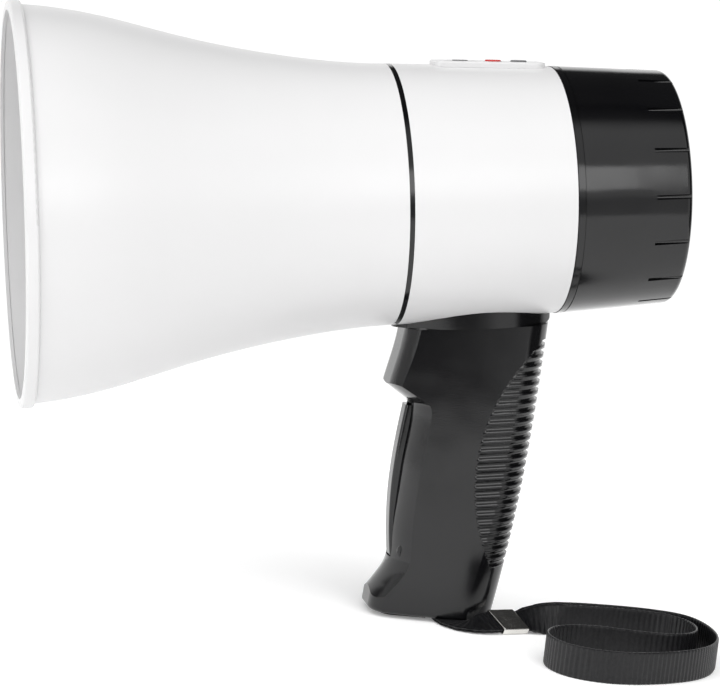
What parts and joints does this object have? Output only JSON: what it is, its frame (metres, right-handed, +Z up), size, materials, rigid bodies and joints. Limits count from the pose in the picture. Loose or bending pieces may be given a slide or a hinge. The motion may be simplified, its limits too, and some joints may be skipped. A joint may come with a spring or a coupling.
{
  "type": "handheld megaphone",
  "caption": "Hand-held battery megaphone: flared horn with folded-horn reflector, tapered amplifier body, twist-on rear cap, pistol grip with talk trigger, wrist strap.",
  "frame": {"origin": "on the ground under the middle of the megaphone's bounding box, the strap not counted", "axes": "+X from the horn's mouth to the rear cap, +Y towards the far side of the grip, +Z up; the megaphone stands on its grip with the horn drooping 7.6 degrees to the mouth"},
  "size_m": [0.3028, 0.185, 0.2304],
  "materials": {
    "white_shell": "satin",
    "black_gloss": "gloss",
    "black_satin": "satin",
    "control_grey": "satin",
    "siren_red": "gloss",
    "rubber_black": "matt",
    "board_green": "satin",
    "steel": "zinc plated",
    "nickel": "polished nickel plate",
    "aluminium": "matt",
    "ferrite": "matt",
    "film": "film",
    "copper": "enamelled wire",
    "webbing": "woven nylon",
    "cell_jacket": "printed sleeve, blank"
  },
  "bodies": {
    "megaphone": {"amp_board": "board_green", "amp_heatsink": "aluminium", "base_plate": "black_gloss", "battery_cells": "cell_jacket", "battery_holder": "black_satin", "body_screws": "steel", "body_shell": "white_shell", "capacitors": "aluminium", "cell_springs": "steel", "control_panel": "white_shell", "diaphragm": "film", "driver_cover": "black_satin", "driver_frame": "black_satin", "driver_screws": "steel", "foot_pad": "rubber_black", "frame_screws": "steel", "handle_left": "black_gloss", "handle_right": "black_gloss", "handle_saddle": "black_gloss", "handle_screws": "steel", "horn_bell": "white_shell", "magnet_ring": "ferrite", "mode_switch": "steel", "mouth_rim": "white_shell", "panel_board": "board_green", "reflector_cup": "white_shell", "saddle_screws": "steel", "seam_ring": "black_gloss", "spring_seat": "black_satin", "strap_bar": "steel", "strap_ferrule": "nickel", "strap_loop": "webbing", "strap_neck": "webbing", "strap_twist_back": "webbing", "strap_twist_out": "webbing", "switch_bracket": "black_satin", "tact_switches": "black_satin", "talk_switch": "black_satin", "tone_arm": "white_shell", "top_plate": "steel", "trigger_pin": "steel", "trigger_spring": "steel", "voice_coil": "copper", "yoke": "steel"},
    "trigger": {"trigger": "black_gloss"},
    "talk_plunger": {"switch_plunger": "control_grey"},
    "mode_slider": {"mode_slider": "control_grey"},
    "siren_button": {"siren_button": "siren_red"},
    "record_button": {"record_button": "control_grey"},
    "rear_cap": {"rear_cap": "black_gloss", "mic_grille": "black_satin", "mic_boot": "rubber_black", "mic_capsule": "aluminium", "volume_pot": "steel", "cap_board": "board_green", "cap_contacts": "steel"},
    "volume_knob": {"volume_knob": "control_grey"}
  },
  "joints": [
    {"name": "trigger_pull", "type": "hinge", "parent": "megaphone", "child": "trigger", "pos_m": [0.04252, 0, 0.027], "axis": [0, 1, 0], "range_deg": [0, 2.6], "stiffness_Nm_per_rad": 0.6, "springref_deg": -20.05, "deforming": ["trigger_spring"]},
    {"name": "talk_switch_press", "type": "slide", "parent": "megaphone", "child": "talk_plunger", "axis": [1, 0, 0], "range_m": [0, 0.00236]},
    {"name": "mode_select", "type": "slide", "parent": "megaphone", "child": "mode_slider", "axis": [0.9957, 0, 0.0925], "range_m": [-0.003, 0.003]},
    {"name": "siren_press", "type": "slide", "parent": "megaphone", "child": "siren_button", "axis": [0.0925, 0, -0.9957], "range_m": [0, 0.0008], "stiffness_N_per_m": 900, "springref_m": -0.0004},
    {"name": "record_press", "type": "slide", "parent": "megaphone", "child": "record_button", "axis": [0.0925, 0, -0.9957], "range_m": [0, 0.0008], "stiffness_N_per_m": 900, "springref_m": -0.0004},
    {"name": "rear_cap_twist", "type": "hinge", "parent": "megaphone", "child": "rear_cap", "pos_m": [0.10982, 0, 0.18074], "axis": [0.9912, 0, 0.1323], "range_deg": [0, 25]},
    {"name": "volume_turn", "type": "hinge", "parent": "rear_cap", "child": "volume_knob", "pos_m": [0.13123, 0, 0.15636], "axis": [0.9912, 0, 0.1323], "range_deg": [-150, 150]}
  ],
  "couplings": [
    {"joint": "talk_switch_press", "follows": "trigger_pull", "m_per_rad": 0.052}
  ]
}
